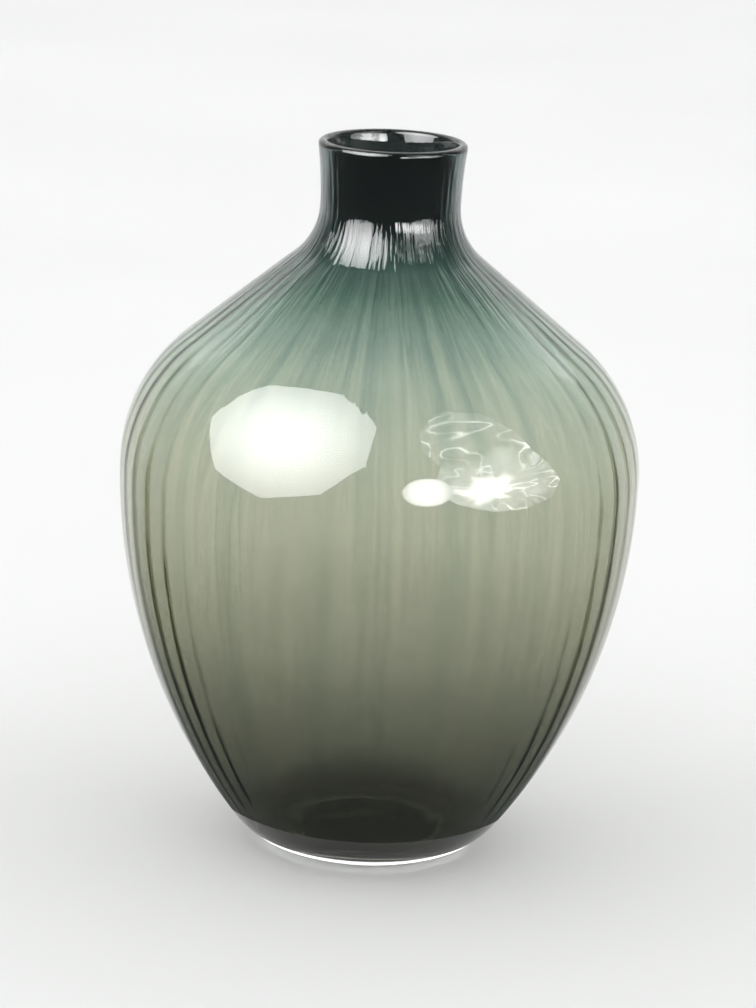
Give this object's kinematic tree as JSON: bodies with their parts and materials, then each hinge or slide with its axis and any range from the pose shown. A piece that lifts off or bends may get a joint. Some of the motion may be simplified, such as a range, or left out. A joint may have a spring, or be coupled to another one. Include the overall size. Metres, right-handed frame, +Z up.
{
  "type": "glass balloon vase",
  "caption": "Round-bellied blown glass vase with a narrow waisted neck, a smoke-tinted lining under clear glass and a ring foot.",
  "frame": {"origin": "centre of the ring that the vase rests on", "axes": "+Z up along the vase's axis of revolution, towards the mouth; +X and +Y are any two directions square to it"},
  "size_m": [0.266, 0.266, 0.37],
  "materials": {
    "clear_glass": "fire-polished, glossy",
    "smoke_glass": "smoke tint, glossy, soft vertical ribs"
  },
  "bodies": {
    "root": {"clear_casing": "clear_glass", "smoke_core": "smoke_glass"}
  },
  "joints": []
}
